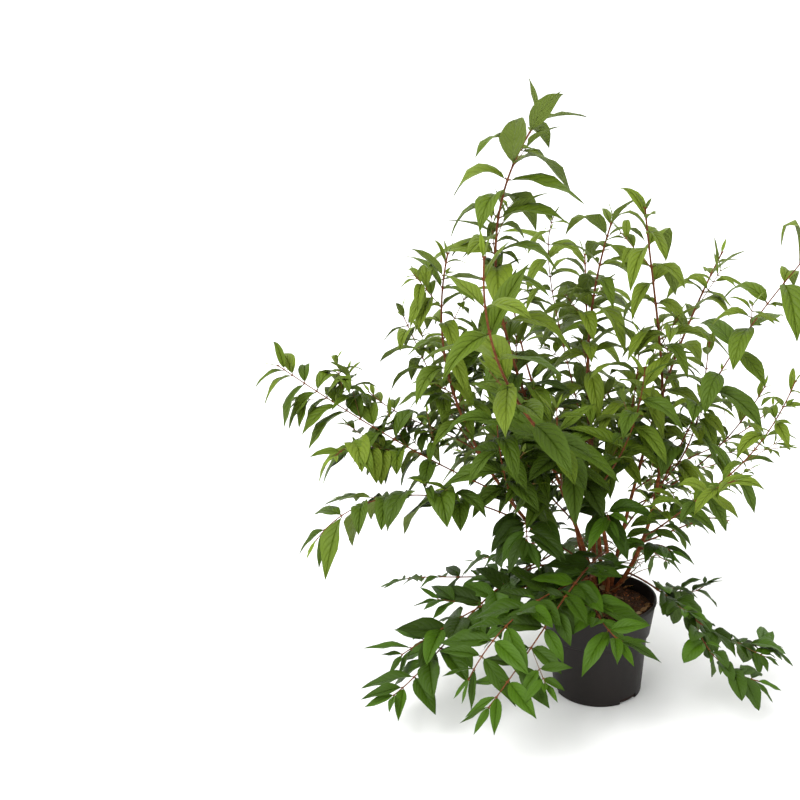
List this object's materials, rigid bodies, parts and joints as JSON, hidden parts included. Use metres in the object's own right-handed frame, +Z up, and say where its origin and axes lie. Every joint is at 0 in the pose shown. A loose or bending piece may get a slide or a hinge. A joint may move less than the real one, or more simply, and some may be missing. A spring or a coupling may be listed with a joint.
{
  "type": "potted deutzia shrub",
  "caption": "Many-stemmed leafy shrub in a round tapering nursery pot: upright canes, arching side shoots and low spreading shoots with opposite lance-shaped leaves.",
  "frame": {"origin": "centre of the flat underside of the pot, on the surface it stands on", "axes": "+Z up along the pot's axis, -Y towards the front of the plant, +X to the right seen from the front"},
  "size_m": [0.8561, 0.7578, 0.9661],
  "materials": {
    "pot": "matte black moulded plastic",
    "soil": "moist fibrous bark and peat",
    "bark": "thin red-brown bark",
    "leaf": "soft mid-green leaves",
    "low_leaf": "soft deep-green leaves",
    "young_leaf": "soft yellow-green leaves"
  },
  "bodies": {
    "root": {"pot": "pot", "soil": "soil", "front_bough": "bark", "tall_bough": "bark", "left_bough": "bark", "mid_bough": "bark", "right_bough": "bark", "back_right_bough": "bark", "back_mid_bough": "bark", "back_left_bough": "bark", "left_long_bough": "bark", "left_low_bough": "bark", "front_foliage": "young_leaf", "tall_foliage": "young_leaf", "left_foliage": "young_leaf", "mid_foliage": "young_leaf", "right_foliage": "young_leaf", "back_right_foliage": "young_leaf", "back_mid_foliage": "young_leaf", "back_left_foliage": "young_leaf", "slender_foliage": "leaf", "left_back_foliage": "leaf", "left_wisp_foliage": "leaf", "left_long_foliage": "leaf", "left_mid_foliage": "leaf", "left_low_foliage": "low_leaf", "far_right_foliage": "leaf", "right_low_foliage": "low_leaf", "right_thin_foliage": "leaf", "right_fore_foliage": "leaf", "right_wisp_foliage": "leaf", "back_mid_side_foliage": "leaf", "back_left_low_foliage": "low_leaf", "back_left_wisp_foliage": "leaf", "back_right_low_foliage": "low_leaf", "back_right_wisp_foliage": "leaf", "front_side_foliage": "leaf", "tall_side_foliage": "leaf", "tall_fore_foliage": "leaf", "mid_side_foliage": "leaf", "left_side_foliage": "leaf", "right_side_foliage": "leaf", "inner_left_foliage": "low_leaf", "inner_fore_foliage": "low_leaf", "inner_right_foliage": "low_leaf", "skirt_wisp_foliage": "low_leaf", "skirt_left_foliage": "low_leaf", "skirt_far_foliage": "low_leaf", "skirt_fore_foliage": "low_leaf", "skirt_near_foliage": "low_leaf", "apron_foliage": "low_leaf", "skirt_right_foliage": "low_leaf", "skirt_right_low_foliage": "low_leaf", "skirt_right_top_foliage": "low_leaf", "back_skirt_left_foliage": "low_leaf", "back_skirt_mid_foliage": "low_leaf", "back_skirt_right_foliage": "low_leaf"}
  },
  "joints": []
}
